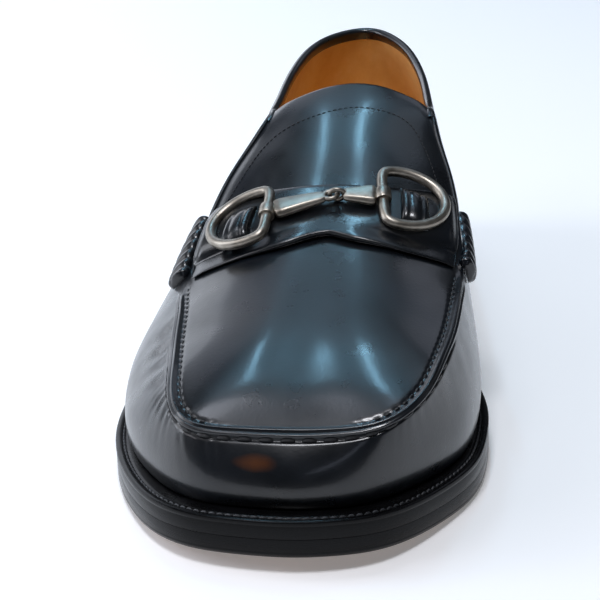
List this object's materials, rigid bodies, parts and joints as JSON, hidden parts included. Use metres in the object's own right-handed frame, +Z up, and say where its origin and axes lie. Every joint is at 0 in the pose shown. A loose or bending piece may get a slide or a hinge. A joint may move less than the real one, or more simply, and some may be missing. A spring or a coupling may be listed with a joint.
{
  "type": "bit loafer",
  "caption": "Right-foot leather slip-on shoe with a raised apron seam, saddle strap with a metal snaffle bit, and a welted leather sole with a stacked heel.",
  "frame": {"origin": "centre of the heel's bottom face, on the floor", "axes": "+Y from toe to heel, +X towards the medial side, +Z up"},
  "size_m": [0.1179, 0.3, 0.0943],
  "materials": {
    "black_calf": "polished",
    "sole_leather": "waxed edge",
    "lining_leather": "matte",
    "top_piece_rubber": "matte",
    "polished_nickel": "polished"
  },
  "bodies": {
    "root": {"outsole": "sole_leather", "welt": "sole_leather", "heel_stack": "sole_leather", "heel_top_piece": "top_piece_rubber", "insole": "lining_leather", "upper": "black_calf", "saddle_strap": "black_calf", "beefroll_lateral": "black_calf", "beefroll_medial": "black_calf", "keeper_lateral": "black_calf", "keeper_medial": "black_calf", "bit_ring_lateral": "polished_nickel", "bit_ring_medial": "polished_nickel", "bit_link_lateral": "polished_nickel", "bit_link_medial": "polished_nickel"}
  },
  "joints": []
}
